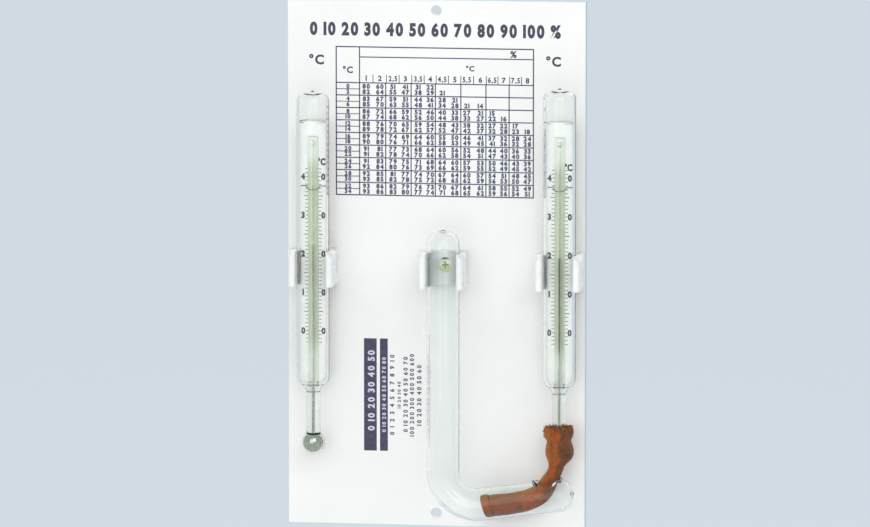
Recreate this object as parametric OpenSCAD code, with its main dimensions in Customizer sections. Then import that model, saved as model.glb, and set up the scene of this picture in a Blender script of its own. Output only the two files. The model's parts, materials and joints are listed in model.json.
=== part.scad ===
// Wall psychrometer: a dry and a wet bulb thermometer with enclosed scales and a bent
// glass water reservoir, each held in a moulded snap clip on a white backboard.
// The origin is the centre of the backboard's back face. The front faces -Y and +Z is up.

/* [Backboard] */
// Width of the backboard
board_w = 139; // [136:1:200]
// Height of the backboard
board_h = 246; // [240:1:320]
// Thickness of the backboard
board_t = 5; // [4.5:0.5:12]
// Diameter of the two wall holes
wall_hole_d = 5; // [3:0.5:7]
// Distance from the top edge to the centre of the upper wall hole
upper_hole_inset = 5; // [5:0.5:12]
// Distance from the bottom edge to the centre of the lower wall hole
lower_hole_inset = 6; // [5:0.5:12]

/* [Glass tubes] */
// Outside diameter of the two sheaths and of the reservoir
tube_d = 15.2; // [12.5:0.1:19]
// Wall of the two sheaths
sheath_wall = 1.1; // [0.8:0.1:1.4]
// Wall of the reservoir
reservoir_wall = 1.2; // [0.8:0.1:1.6]

/* [Clips] */
// Height of a clip along its tube
clip_h = 16; // [14:0.2:28]
// Level of the middle of the clips
clip_z = -1; // [-12:0.2:10]
// Thickness of a clip's heel between the backboard and its tube
clip_heel = 4.2; // [3.8:0.1:7]
// Thickness of a clip's arms
clip_arm = 2.75; // [2.2:0.05:3.6]
// Angle by which the arms reach past the tube's widest line
lip_angle = 22; // [14:1:28]
// Thickness of the lips that lead the tube in
lip_d = 3.4; // [2:0.1:3.8]
// Length of the lips beyond the narrowest part of the opening
lip_len = 4.2; // [1:0.1:5]
// Angle by which the lips flare apart, below zero where they lean together
lip_flare = -2; // [-4:1:20]
// Radial clearance between a clip and its tube
clip_gap = 0.15; // [0.1:0.05:0.3]
// Chamfer on the upper outer corners of the arms
clip_corner = 3.2; // [1:0.2:5]
// Depth of the side rib that links clips in a row
link_depth = 1.4; // [0.8:0.1:1.6]

/* [Screws] */
// Height of a screw above the middle of its clip
screw_raise = 1.2; // [0:0.1:3]
// Diameter of a clip screw
screw_d = 3.5; // [2.5:0.1:4]
// Diameter of a screw's head
screw_head_d = 7; // [5.5:0.1:7.4]
// Height of the countersunk head
screw_head_h = 1.9; // [1.5:0.1:2.2]
// Depth of a screw in the backboard
screw_bite = 3.9; // [2.5:0.1:4]

/* [Thermometers] */
// Distance of the dry thermometer to the left of the centre line
dry_offset = 56; // [40:0.1:58]
// Distance of the wet thermometer to the right of the centre line
wet_offset = 58.9; // [50:0.1:60]
// Level of the top of the dry thermometer
dry_top = 80.9; // [70:0.1:84]
// How much higher the wet thermometer sits in its clip
wet_raise = 1.3; // [0:0.1:3]
// How much longer the wet thermometer's sheath is at its top
wet_extra = 1.6; // [0:0.1:3]
// Length of the parallel part of the sheath
sheath_len = 132.6; // [110:0.2:140]
// Corner radius of the closed top
top_corner = 4; // [2.5:0.1:6]
// Length of the shoulder between the sheath and the stem
shoulder_len = 7.5; // [6:0.1:9]
// Diameter of the stem below the sheath
stem_d = 6.5; // [5.5:0.1:8]
// Length from the shoulder to the centre of the bulb
stem_len = 23.8; // [14:0.1:28]
// Diameter of the bulb
bulb_d = 10.8; // [9:0.1:12]
// Wall of the bulb
bulb_wall = 0.6; // [0.4:0.1:1]
// Radius of the glass fillet above the bulb
bulb_fillet = 2; // [1:0.1:3]
// Bore of the stem between the bulb and the sheath
stem_bore_d = 1.3; // [1.1:0.1:2]
// Bore of the dry thermometer's capillary
dry_bore_d = 0.6; // [0.5:0.05:1]
// Bore of the wet thermometer's capillary
wet_bore_d = 1; // [0.5:0.05:1]
// Clearance between glass pieces and between the mercury and its bore
glass_fit = 0.05; // [0.03:0.01:0.08]

/* [Scales] */
// Length of one degree on the scale
degree_len = 1.8; // [1.5:0.05:1.85]
// Distance from the top of the sheath down to the zero mark
zero_drop = 111.7; // [95:0.1:113]
// Lowest mark in degrees
scale_low = -3; // [-5:1:0]
// Highest mark in degrees
scale_high = 42; // [30:1:45]
// Reading of the dry thermometer in degrees
dry_reading = 22.5; // [0:0.1:40]
// Reading of the wet thermometer in degrees
wet_reading = 19.4; // [0:0.1:40]
// Distance from the top of the sheath down to the scale plate
plate_drop = 14.1; // [10:0.1:20]
// Thickness of the scale plate
plate_t = 0.9; // [0.7:0.1:1.1]
// Distance from the sheath's axis to the front of the scale plate
plate_back = 1.3; // [1:0.1:1.6]
// Width of the capillary's flat back
capillary_w = 5; // [4:0.1:5.4]
// Height of the capillary's rounded front ahead of the sheath's axis
capillary_crown = 1.6; // [1.3:0.1:2]
// Length of the capillary above the highest mark
capillary_rise = 15.3; // [5:0.1:17]
// Distance from the top of the sheath down to the tie wire
tie_drop = 44; // [30:0.5:60]
// Diameter of the tie wire and of the spring ring
wire_d = 0.4; // [0.3:0.05:0.5]

/* [Reservoir] */
// Distance of the reservoir's upright to the right of the centre line
reservoir_offset = 4.8; // [-5:0.1:6]
// Level of the top of the reservoir
reservoir_top = 17.7; // [10:0.1:30]
// Level of the centre of the bend
bend_z = -95.2; // [-99:0.1:-92]
// Centreline radius of the bend
bend_r = 15.5; // [12:0.1:18]
// Slope of the lower arm in degrees
arm_slope = 8; // [3:0.5:12]
// Distance from the wet thermometer's axis back to the mouth
mouth_setback = 5.3; // [4:0.1:8]
// Distance from the mouth's centre to the closed end of the arm
arm_overrun = 12.4; // [11:0.1:18]
// Height of the mouth's collar over the arm
mouth_rise = 0.8; // [0.4:0.1:2]
// How much narrower the collar's radius is than the tube's
mouth_inset = 0.4; // [0.3:0.1:1.2]
// Thickness of the collar around the mouth
collar_wall = 1.1; // [0.8:0.1:1.3]

/* [Wick] */
// Thickness of the wick's knitted wall
wick_wall = 0.85; // [0.5:0.05:1.2]
// Length of the gathered collar above the middle of the bulb
collar_len = 8.4; // [7:0.1:10]
// Length of the sock below the middle of the bulb
sock_len = 9.3; // [8.9:0.1:10]
// Diameter of the wick's neck, where it goes down through the mouth
neck_d = 7.8; // [6:0.1:8.2]
// Space between the wick's tail and the reservoir's wall
tail_slack = 1.5; // [0.8:0.1:2.5]
// Distance from the mouth's centre to the end of the tail along X
tail_reach = 29; // [20:0.5:30]

/* [Hidden] */

$fn = 72;
// Steps in a quarter turn of a profile's arc
arc_steps = 12;
// Length added to a cut so that it runs past the surface that it opens
past = 1;
// Gap between soft pieces and what they rest on
soft_gap = 0.3;

// Places of the three tubes
dry_x = -dry_offset;
wet_x = wet_offset;
reservoir_x = reservoir_offset;
wet_top = dry_top + wet_raise;
tube_r = tube_d / 2;
clip_bore_r = tube_r + clip_gap;
heel_y = clip_heel + clip_bore_r;
tube_y = -(board_t + heel_y);

// Clips and their screws
clip_w = 2 * (clip_bore_r + clip_arm);
arm_step = 0.2;
lip_r = lip_d / 2;
lip_centre_r = clip_bore_r + lip_r + 0.05;
core_hole_r = 1.9;
core_hole_x = clip_w / 2 - core_hole_r - 1.5;
core_hole_y = heel_y - core_hole_r - 1.25;
link_y = 3.5;
link_root_w = 2.6;
link_tip_w = 3.6;
link_share = 2 / 3;
link_gap = 0.15;
head_r = screw_head_d / 2;
head_gap = 0.15;
screw_r = screw_d / 2;
screw_hole_r = screw_r + 0.25;
pilot_gap = 0.05;
head_seat = clip_bore_r + 0.3;
screw_len = heel_y - head_seat + screw_bite;
screw_point = 1.5;
recess_w = 0.9;
recess_len = 3.6;
recess_depth = 1.1;

// Sheath, stem and bulb, measured down from the top of the sheath
sheath_r = tube_r - sheath_wall;
stem_r = stem_d / 2;
neck_z = -sheath_len - shoulder_len;
shoulder_angle = 2 * atan2(tube_r - stem_r, shoulder_len);
shoulder_sum = shoulder_len / sin(shoulder_angle);
shoulder_r = 0.58 * shoulder_sum;
neck_r = shoulder_sum - shoulder_r;
top_crown = 0.5;
tip_r = 0.8;
tip_h = 0.6;
root_r = stem_r - sheath_wall - glass_fit;
bulb_r = bulb_d / 2;
bulb_z = neck_z - stem_len;
fillet_rise = sqrt(pow(bulb_r + bulb_fillet, 2) - pow(stem_r + bulb_fillet, 2));
fillet_angle = atan2(fillet_rise, stem_r + bulb_fillet);

// Scale plate and capillary
plate_rear = plate_back + plate_t;
plate_edge_gap = 0.12;
plate_w = 2 * (sqrt(sheath_r * sheath_r - plate_rear * plate_rear) - plate_edge_gap);
plate_foot = 3.1;
plate_foot_gap = 0.3;
plate_bottom = -sheath_len - plate_foot;
foot_angle = asin(plate_foot / shoulder_r);
foot_w = 2 * (tube_r - shoulder_r * (1 - cos(foot_angle)) - sheath_wall / cos(foot_angle) - plate_foot_gap) - plate_rear;
plate_corner = 1.2;
notch_depth = 0.55;
notch_h = 1.6;
capillary_rear = plate_back - glass_fit;
capillary_h = capillary_rear + capillary_crown;
capillary_r = (pow(capillary_w / 2, 2) + pow(capillary_h, 2)) / (2 * capillary_h);
chamber_len = 3;
chamber_r = 0.9;
capillary_top = min(mark_z(scale_high) + capillary_rise, -plate_drop - 1);
root_top = plate_bottom - soft_gap;

// Mercury column
head_len = 3;
column_margin = 0.5;
column_base = mark_z(scale_low) - head_len - column_margin;
stem_bore_r = stem_bore_d / 2;
funnel_z = neck_z + 1;
funnel_h = 2;

// Wires
wire_r = wire_d / 2;
wire_gap = 0.06;
wire_sides = 8;
wire_dip = 1.6;
spring_r = sheath_r - wire_r - 0.15;
spring_turn = 300;

// Reservoir
arm_start = [reservoir_x + bend_r * (1 + sin(arm_slope)), bend_z - bend_r * cos(arm_slope)];
mouth_x = wet_x - mouth_setback;
arm_len = (mouth_x + arm_overrun - arm_start[0]) / cos(arm_slope);
dome_corner = 6.4;
bend_draw = 0.05;
bend_lap = 0.2;
mouth_r = tube_r - mouth_inset;
mouth_bore_r = mouth_r - collar_wall;
mouth_h = tube_r + mouth_rise;
mouth_centre = arm_axis(mouth_x) + [0, 0, mouth_h];

// Wick
sock_sides = 20;
upper_steps = 7;
lower_steps = 10;
tail_steps = 8;
tail_fold = 1.2;
// Straight stretch at each end of the wick's neck, so that its ends lie square
neck_stub = 0.7;
// How far the neck hangs to the left of the bulb's axis
neck_shift = 1.8;
// Lengths of the handles that bend the neck's two curves
upper_handle = 1.8;
mid_handle = 2.4;
lower_handle = 4.6;
sock_fit = 0.15;
sock_r = bulb_r + sock_fit + wick_wall;
wet_bulb_z = wet_top + bulb_z;
sock_foot_r = 4.3;
neck_wick_r = neck_d / 2;
tail_r = tube_r - reservoir_wall - tail_slack;
tail_rest = tail_slack - soft_gap;
seam_x = mouth_x - 10.4;
neck_top = [wet_x - neck_shift, tube_y - 0.3, wet_bulb_z - sock_len - soft_gap];
neck_mid = mouth_centre + [0.2, 0.2, 0];
neck_end = arm_floor(seam_x);
neck_heading = unit([-0.24, -0.06, -0.96]);
arm_heading = [-cos(arm_slope), 0, -sin(arm_slope)];
upper_start = neck_top - [0, 0, neck_stub];
lower_end = neck_end - neck_stub * arm_heading;
upper_curve = [
  upper_start, upper_start - [0.2, 0, upper_handle],
  neck_mid - mid_handle * neck_heading, neck_mid
];
lower_curve = [
  neck_mid, neck_mid + lower_handle * neck_heading,
  lower_end - lower_handle * arm_heading, lower_end
];

// Height of a mark over the top of the sheath, below zero because it lies under it
function mark_z(degrees) = degrees * degree_len - zero_drop;

// Point of the lower arm's axis at one place along X
function arm_axis(x) = [x, tube_y, arm_start[1] + (x - arm_start[0]) * tan(arm_slope)];

// Centre of the wick where it lies on the floor of the lower arm
function arm_floor(x) = arm_axis(x) - [0, 0, tail_rest / cos(arm_slope)];

// Points of an arc about [cx, cy], from angle a to angle b
function arc(cx, cy, r, a, b, steps = arc_steps) =
  [for (i = [0:steps]) let (t = a + (b - a) * i / steps) [cx + r * cos(t), cy + r * sin(t)]];

// Point at share t of a curve with four control points
function curve_point(p, t) =
  pow(1 - t, 3) * p[0] + 3 * t * pow(1 - t, 2) * p[1] + 3 * t * t * (1 - t) * p[2] + t * t * t * p[3];

function unit(v) = v / norm(v);

// Direction of a path at point i
function heading(path, i) = unit(path[min(i + 1, len(path) - 1)] - path[max(i - 1, 0)]);

// Ring of points square to the path, with its first point away from side
function ring(centre, along, r, sides, side) =
  let (u = unit(cross(along, side)), v = cross(along, u))
  [for (k = [0:sides - 1]) centre + r * (cos(360 * k / sides) * u + sin(360 * k / sides) * v)];

// Solid that follows a path with a radius for each of its points
module sweep(path, radii, sides, side) {
  last = len(path) - 1;
  points = [for (i = [0:last]) each ring(path[i], heading(path, i), radii[i], sides, side)];
  skin = [
    for (i = [0:last - 1], k = [0:sides - 1])
      let (a = i * sides + k, b = i * sides + (k + 1) % sides)
      each [[a, b, b + sides], [a, b + sides, a + sides]]
  ];
  start_cap = [for (k = [0:sides - 1]) sides - 1 - k];
  end_cap = [for (k = [0:sides - 1]) last * sides + k];
  polyhedron(points = points, faces = concat([start_cap], skin, [end_cap]));
}

// Outline of the wall hole and pilot bores, drilled from the front
module board_bore(x, z, r, depth) {
  translate([x, -board_t - past, z])
    rotate([-90, 0, 0])
      cylinder(h = depth + past, r = r);
}

module backboard() {
  color("white")
    difference() {
      translate([-board_w / 2, -board_t, -board_h / 2])
        cube([board_w, board_t, board_h]);
      board_bore(0, board_h / 2 - upper_hole_inset, wall_hole_d / 2, board_t + past);
      board_bore(0, lower_hole_inset - board_h / 2, wall_hole_d / 2, board_t + past);
      for (x = [dry_x, reservoir_x, wet_x])
        board_bore(x, clip_z + screw_raise, screw_r + pilot_gap, screw_bite + pilot_gap);
    }
}

// Section of a clip across its tube, with the tube's axis at the origin and the board at +Y
module clip_outline() {
  difference() {
    union() {
      translate([-clip_w / 2, 0])
        square([clip_w, heel_y]);
      intersection() {
        circle(r = clip_w / 2 - arm_step);
        translate([-clip_w / 2, -lip_centre_r * sin(lip_angle)])
          square([clip_w, lip_centre_r * sin(lip_angle) + past]);
      }
    }
    circle(r = clip_bore_r);
    for (side = [-1, 1])
      translate([side * core_hole_x, core_hole_y])
        circle(r = core_hole_r);
  }
  for (side = [-1, 1])
    translate([side * lip_centre_r * cos(lip_angle), -lip_centre_r * sin(lip_angle)])
      rotate([0, 0, side * lip_flare]) {
        circle(r = lip_r);
        translate([-lip_r, -lip_len])
          square([lip_d, lip_len]);
        translate([0, -lip_len])
          circle(r = lip_r);
      }
}

// Dovetail section of the rib that links clips, pointing to -X from the clip's side
module link_outline(grow) {
  polygon([
    [0.2, link_root_w / 2 + grow], [-link_depth - grow, link_tip_w / 2 + grow],
    [-link_depth - grow, -link_tip_w / 2 - grow], [0.2, -link_root_w / 2 - grow]
  ]);
}

module clip(x) {
  link_h = clip_h * link_share;
  color("whitesmoke")
    translate([x, tube_y, clip_z])
      difference() {
        union() {
          translate([0, 0, -clip_h / 2])
            linear_extrude(clip_h)
              clip_outline();
          translate([-clip_w / 2, link_y, clip_h / 2 - link_h])
            linear_extrude(link_h)
              link_outline(0);
        }
        translate([clip_w / 2, link_y, clip_h / 2 - link_h - link_gap])
          linear_extrude(link_h + link_gap + past)
            link_outline(link_gap);
        for (side = [-1, 1])
          translate([side * (clip_w / 2 + arm_step), -clip_w / 2, clip_h / 2])
            rotate([0, 45, 0])
              cube([clip_corner * sqrt(2), clip_w, clip_corner * sqrt(2)], center = true);
        translate([0, 0, screw_raise])
          rotate([-90, 0, 0]) {
            cylinder(h = heel_y + past, r = screw_hole_r);
            cylinder(h = head_seat, r = head_r + head_gap);
            translate([0, 0, head_seat])
              cylinder(h = screw_head_h, r1 = head_r + head_gap, r2 = screw_hole_r);
          }
      }
}

module dry_clip() clip(dry_x);
module reservoir_clip() clip(reservoir_x);
module wet_clip() clip(wet_x);

// Countersunk screw with a cross recess, its head towards -Z
module screw() {
  difference() {
    rotate_extrude()
      polygon([
        [0, 0], [head_r, 0], [screw_r, screw_head_h], [screw_r, screw_len - screw_point],
        [0.4, screw_len], [0, screw_len]
      ]);
    for (turn = [0, 90])
      rotate([0, 0, turn])
        translate([-recess_len / 2, -recess_w / 2, -past])
          cube([recess_len, recess_w, past + recess_depth]);
  }
}

module clip_screws() {
  color("goldenrod")
    for (x = [dry_x, reservoir_x, wet_x])
      translate([x, tube_y + head_seat, clip_z + screw_raise])
        rotate([-90, 0, 0])
          screw();
}

// Profile of the closed top and the parallel wall of a tube, offset inwards by wall
function top_profile(r, corner, wall) =
  concat(
    [[0, -wall]],
    arc(r - corner, -top_crown - corner, corner - wall, 90, 0)
  );

// Profile of the shoulder from the sheath down to the stem, offset inwards by wall
function shoulder_profile(wall) =
  concat(
    arc(tube_r - shoulder_r, -sheath_len, shoulder_r - wall, 0, -shoulder_angle),
    arc(stem_r + neck_r, neck_z, neck_r + wall, 180 - shoulder_angle, 180)
  );

function reversed(list) = [for (i = [len(list) - 1:-1:0]) list[i]];

function raised(list, height) = [for (p = list) [p[0], p[1] + height]];

// Outer glass of a thermometer, closed at the top and drawn in to the stem
module sheath(x, top, extra) {
  tip = [[0, tip_h], [tip_r * 0.6, tip_h * 0.8], [tip_r, -0.1]];
  crown = concat(tip, [for (p = top_profile(tube_r, top_corner, 0)) if (p[0] > tip_r) p]);
  outer = concat(raised(crown, extra), shoulder_profile(0));
  inner = concat(raised(top_profile(tube_r, top_corner, sheath_wall), extra), shoulder_profile(sheath_wall));
  color("azure", 0.35)
    translate([x, tube_y, top])
      rotate_extrude()
        polygon(concat(outer, reversed(inner)));
}

// Profile of the bore from the bulb up to a given level, narrowed by gap
function bore_profile(thread_r, gap, top) =
  let (cavity_r = bulb_r - bulb_wall - gap, throat_r = stem_bore_r - gap)
  concat(
    arc(0, bulb_z, cavity_r, -90, acos(throat_r / cavity_r), 3 * arc_steps),
    [[throat_r, funnel_z], [thread_r - gap, funnel_z + funnel_h], [thread_r - gap, top]]
  );

// Stem with its bulb, and the capillary that stands in the sheath in front of the scale
module stem(x, top, bore_d) {
  bulb_profile = concat(
    [[0, neck_z], [stem_r, neck_z]],
    arc(stem_r + bulb_fillet, bulb_z + fillet_rise, bulb_fillet, 180, 180 + fillet_angle),
    arc(0, bulb_z, bulb_r, fillet_angle, -90, 2 * arc_steps)
  );
  chamber_z = capillary_top - chamber_len - 1.5;
  chamber = [
    [min(chamber_r, bore_d), chamber_z + 0.8], [min(chamber_r, bore_d), chamber_z + chamber_len - 0.8],
    [0, chamber_z + chamber_len]
  ];
  color("honeydew", 0.45)
    translate([x, tube_y, top])
      difference() {
        union() {
          rotate_extrude()
            polygon(bulb_profile);
          translate([0, 0, neck_z - past])
            cylinder(h = root_top - neck_z + past, r = root_r);
          translate([0, 0, root_top - past])
            linear_extrude(capillary_top - root_top + past)
              intersection() {
                translate([0, capillary_r - capillary_crown])
                  circle(r = capillary_r);
                translate([-capillary_w, capillary_rear - 2 * capillary_w])
                  square([2 * capillary_w, 2 * capillary_w]);
              }
        }
        rotate_extrude()
          polygon(concat(bore_profile(bore_d / 2, 0, chamber_z), chamber));
      }
}

// Opal scale plate, notched for its tie wire and narrowed at the foot to sit in the shoulder
module scale_plate(x, top) {
  half = plate_w / 2;
  tie = -tie_drop;
  side = [
    [half - plate_corner, -plate_drop], [half, -plate_drop - plate_corner],
    [half, tie + notch_h / 2], [half - notch_depth, tie + notch_h / 2],
    [half - notch_depth, tie - notch_h / 2], [half, tie - notch_h / 2],
    [half, plate_bottom + plate_foot + plate_corner], [foot_w / 2, plate_bottom]
  ];
  color("white")
    translate([x, tube_y + plate_rear, top])
      rotate([90, 0, 0])
        linear_extrude(plate_t)
          polygon(concat(side, [for (p = reversed(side)) [-p[0], p[1]]]));
}

// Wire that ties the capillary to its scale plate, with a dip where it crosses the glass
module tie_wire(x, top) {
  reach = wire_r + wire_gap;
  side_x = plate_w / 2 - notch_depth + reach;
  rear_y = plate_rear + reach;
  front_y = plate_back - reach;
  shoulder_x = capillary_w / 2 + 2 * reach;
  crown_y = -capillary_crown - reach;
  half = [
    [0.4, rear_y, 0], [side_x - 0.2, rear_y, 0], [side_x, rear_y - 0.2, 0], [side_x, front_y + 0.2, 0],
    [side_x - 0.2, front_y, 0], [shoulder_x, front_y, 0],
    [capillary_w / 2 + reach * 0.8, (front_y + crown_y) / 2, -wire_dip * 0.55],
    [capillary_w / 4 + reach, crown_y + 0.25, -wire_dip * 0.9]
  ];
  route = concat(half, [[0, crown_y, -wire_dip]], [for (p = reversed(half)) [-p[0], p[1], p[2]]]);
  color("dimgray")
    translate([x, tube_y, top - tie_drop])
      sweep(route, [for (p = route) wire_r], wire_sides, [0, 0, 1]);
}

// Open spring ring that keeps the scale plate down in its sheath
module scale_spring(x, top) {
  color("dimgray")
    translate([x, tube_y, top - plate_drop + wire_r + wire_gap])
      rotate([0, 0, 270 - spring_turn / 2 + 180])
        rotate_extrude(angle = spring_turn)
          translate([spring_r, 0])
            circle(r = wire_r);
}

module bulb_mercury(x, top, bore_d) {
  color("silver")
    translate([x, tube_y, top])
      rotate_extrude()
        polygon(concat(bore_profile(bore_d / 2, glass_fit, column_base), [[0, column_base]]));
}

module mercury_thread(x, top, bore_d, reading) {
  color("silver")
    translate([x, tube_y, top + column_base])
      cylinder(h = mark_z(reading) - head_len - column_base, r = bore_d / 2 - glass_fit);
}

// Top of the mercury column with its domed meniscus
module mercury_head(x, top, bore_d, reading) {
  r = bore_d / 2 - glass_fit;
  color("silver")
    translate([x, tube_y, top + mark_z(reading) - head_len])
      rotate_extrude()
        polygon(concat([[0, 0], [r, 0]], arc(0, head_len - r, r, 0, 90, 6)));
}

module dry_sheath() sheath(dry_x, dry_top, 0);
module dry_stem() stem(dry_x, dry_top, dry_bore_d);
module dry_scale_plate() scale_plate(dry_x, dry_top);
module dry_tie_wire() tie_wire(dry_x, dry_top);
module dry_scale_spring() scale_spring(dry_x, dry_top);
module dry_bulb_mercury() bulb_mercury(dry_x, dry_top, dry_bore_d);
module dry_mercury_thread() mercury_thread(dry_x, dry_top, dry_bore_d, dry_reading);
module dry_mercury_head() mercury_head(dry_x, dry_top, dry_bore_d, dry_reading);

module wet_sheath() sheath(wet_x, wet_top, wet_extra);
module wet_stem() stem(wet_x, wet_top, wet_bore_d);
module wet_scale_plate() scale_plate(wet_x, wet_top);
module wet_tie_wire() tie_wire(wet_x, wet_top);
module wet_scale_spring() scale_spring(wet_x, wet_top);
module wet_bulb_mercury() bulb_mercury(wet_x, wet_top, wet_bore_d);
module wet_mercury_thread() mercury_thread(wet_x, wet_top, wet_bore_d, wet_reading);
module wet_mercury_head() mercury_head(wet_x, wet_top, wet_bore_d, wet_reading);

// Round solid closed by a dome at its far end, drawn in by wall
module domed_rod(length, wall) {
  rotate_extrude()
    polygon(concat(
      [[0, length - wall]],
      arc(tube_r - dome_corner, length - top_crown - dome_corner, dome_corner - wall, 90, 0),
      [[tube_r - wall, -bend_lap], [0, -bend_lap]]
    ));
}

// The whole run of the reservoir: upright, bend and lower arm, drawn in by wall
module reservoir_run(wall) {
  translate([reservoir_x, tube_y, bend_z])
    domed_rod(reservoir_top - bend_z, wall);
  translate([reservoir_x + bend_r, tube_y, bend_z])
    rotate([90, 0, 0])
      rotate([0, 0, 180])
        rotate_extrude(angle = 90 + arm_slope)
          translate([bend_r, 0])
            circle(r = tube_r - wall - bend_draw);
  translate([arm_start[0], tube_y, arm_start[1]])
    rotate([0, 90 - arm_slope, 0])
      domed_rod(arm_len, wall);
}

// Collar of glass around the mouth, saddled over the round top of the lower arm
module mouth_collar() {
  intersection() {
    translate(arm_axis(mouth_x))
      cylinder(h = mouth_h + past, r = mouth_r);
    translate(arm_axis(mouth_x - tube_r))
      rotate([0, 90 - arm_slope, 0])
        cylinder(h = tube_d / cos(arm_slope), r = mouth_h);
  }
}

// Bent glass tube with a mouth on its lower arm, under the wet bulb
module reservoir() {
  color("aliceblue", 0.35)
    difference() {
      union() {
        reservoir_run(0);
        mouth_collar();
      }
      reservoir_run(reservoir_wall);
      translate(arm_axis(mouth_x))
        cylinder(h = mouth_h + 2 * past, r = mouth_bore_r);
    }
}

// Knitted sock over the wet bulb, gathered above it in a flared collar
module wick_sock() {
  inner_r = bulb_r + sock_fit;
  collar_r = sock_r + 0.4;
  throat = stem_r + sock_fit + 0.4;
  outside = [
    [throat + 1.2, collar_len], [collar_r - 0.5, collar_len - 0.1], [collar_r, collar_len - 1.1],
    [collar_r - 0.2, collar_len - 4.4], [sock_r - 0.5, collar_len - 6.6], [sock_r - 0.3, 0],
    [sock_r, -1.7], [sock_r + 0.1, -3.6], [sock_r - 0.2, -5.3], [sock_r - 0.8, -6.6],
    [sock_foot_r + 0.5, -7.9], [sock_foot_r, -sock_len]
  ];
  inside = concat(
    [[0, -inner_r]],
    arc(0, 0, inner_r, -85, 40, 2 * arc_steps),
    [[throat, fillet_rise + 0.6]]
  );
  color("sienna")
    translate([wet_x, tube_y, wet_bulb_z])
      rotate_extrude()
        polygon(concat(inside, outside, [[0, -sock_len]]));
}

// Wick from the sock through the mouth to the floor of the lower arm
module wick_neck() {
  upper = [for (i = [0:upper_steps]) curve_point(upper_curve, i / upper_steps)];
  lower = [for (i = [1:lower_steps]) curve_point(lower_curve, i / lower_steps)];
  upper_r = [for (i = [0:upper_steps]) neck_wick_r];
  lower_r = [
    for (i = [1:lower_steps])
      let (t = i / lower_steps)
      neck_wick_r + (tail_r - neck_wick_r) * t * t
  ];
  color("sienna")
    sweep(
      concat([neck_top], upper, lower, [neck_end]),
      concat([neck_wick_r], upper_r, lower_r, [tail_r]),
      sock_sides, [0, 1, 0]
    );
}

// Tail of the wick on the floor of the lower arm, with its folded end
module wick_tail() {
  first_x = seam_x - soft_gap;
  last_x = mouth_x - tail_reach;
  body_path = [for (i = [0:tail_steps]) arm_floor(first_x + (last_x - first_x) * i / tail_steps)];
  fold_x = last_x - tail_fold;
  color("sienna")
    sweep(
      concat(body_path, [arm_floor(fold_x)]),
      concat([for (p = body_path) tail_r], [tail_r - tail_fold * 0.5]),
      sock_sides, [0, 1, 0]
    );
}

backboard();
dry_clip();
reservoir_clip();
wet_clip();
clip_screws();
dry_sheath();
dry_stem();
dry_scale_plate();
dry_tie_wire();
dry_scale_spring();
dry_bulb_mercury();
dry_mercury_thread();
dry_mercury_head();
wet_sheath();
wet_stem();
wet_scale_plate();
wet_tie_wire();
wet_scale_spring();
wet_bulb_mercury();
wet_mercury_thread();
wet_mercury_head();
reservoir();
wick_sock();
wick_neck();
wick_tail();
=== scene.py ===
import math
import random
import json

import bpy
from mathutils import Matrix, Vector, noise


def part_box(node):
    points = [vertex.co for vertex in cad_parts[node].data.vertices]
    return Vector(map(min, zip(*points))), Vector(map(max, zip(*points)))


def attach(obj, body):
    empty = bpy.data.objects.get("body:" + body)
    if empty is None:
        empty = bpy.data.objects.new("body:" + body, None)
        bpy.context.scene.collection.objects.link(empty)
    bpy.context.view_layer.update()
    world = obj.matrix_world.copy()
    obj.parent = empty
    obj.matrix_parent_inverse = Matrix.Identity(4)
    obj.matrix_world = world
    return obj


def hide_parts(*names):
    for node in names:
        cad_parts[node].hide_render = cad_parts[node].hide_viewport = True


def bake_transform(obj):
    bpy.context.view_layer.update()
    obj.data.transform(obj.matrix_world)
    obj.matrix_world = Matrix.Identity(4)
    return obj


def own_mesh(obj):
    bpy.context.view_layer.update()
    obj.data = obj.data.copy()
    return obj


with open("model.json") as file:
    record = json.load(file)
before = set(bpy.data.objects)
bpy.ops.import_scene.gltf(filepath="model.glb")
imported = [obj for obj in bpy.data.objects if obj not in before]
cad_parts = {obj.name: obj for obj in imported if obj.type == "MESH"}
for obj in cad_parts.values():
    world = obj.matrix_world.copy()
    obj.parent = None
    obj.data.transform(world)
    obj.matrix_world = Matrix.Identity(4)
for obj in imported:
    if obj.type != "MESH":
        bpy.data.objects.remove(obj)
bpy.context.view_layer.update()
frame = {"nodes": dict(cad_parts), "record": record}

MM = 0.001
nodes = frame["nodes"]
rng = random.Random(46)


def srgb(red, green, blue):
    """Linear colour of an sRGB one given from 0 to 255."""
    def linear(value):
        share = value / 255
        return share / 12.92 if share <= 0.04045 else ((share + 0.055) / 1.055) ** 2.4
    return linear(red), linear(green), linear(blue), 1.0


def centre_of(node):
    """Axis of an upright round node, in mm."""
    low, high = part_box(node)
    return (low.x + high.x) / 2 / MM, (low.y + high.y) / 2 / MM


# Places taken from the frame, in mm
DRY_X, TUBE_Y = centre_of("dry_sheath")
WET_X = centre_of("wet_sheath")[0]
BOARD_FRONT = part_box("backboard")[0].y / MM
BOARD_HALF_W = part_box("backboard")[1].x / MM
BOARD_HALF_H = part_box("backboard")[1].z / MM
PLATE_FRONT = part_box("dry_scale_plate")[0].y / MM

# Distance of the scale's zero below the top of its plate, and length of one degree, in mm
PLATE_TO_ZERO = 97.6
DEGREE = 1.8
# Levels between which the stems' tint fades in at the foot of the scale and out at its head, in mm
TINT_FOOT = (-44, -32)
TINT_HEAD = (52, 43)


# Materials

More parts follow.
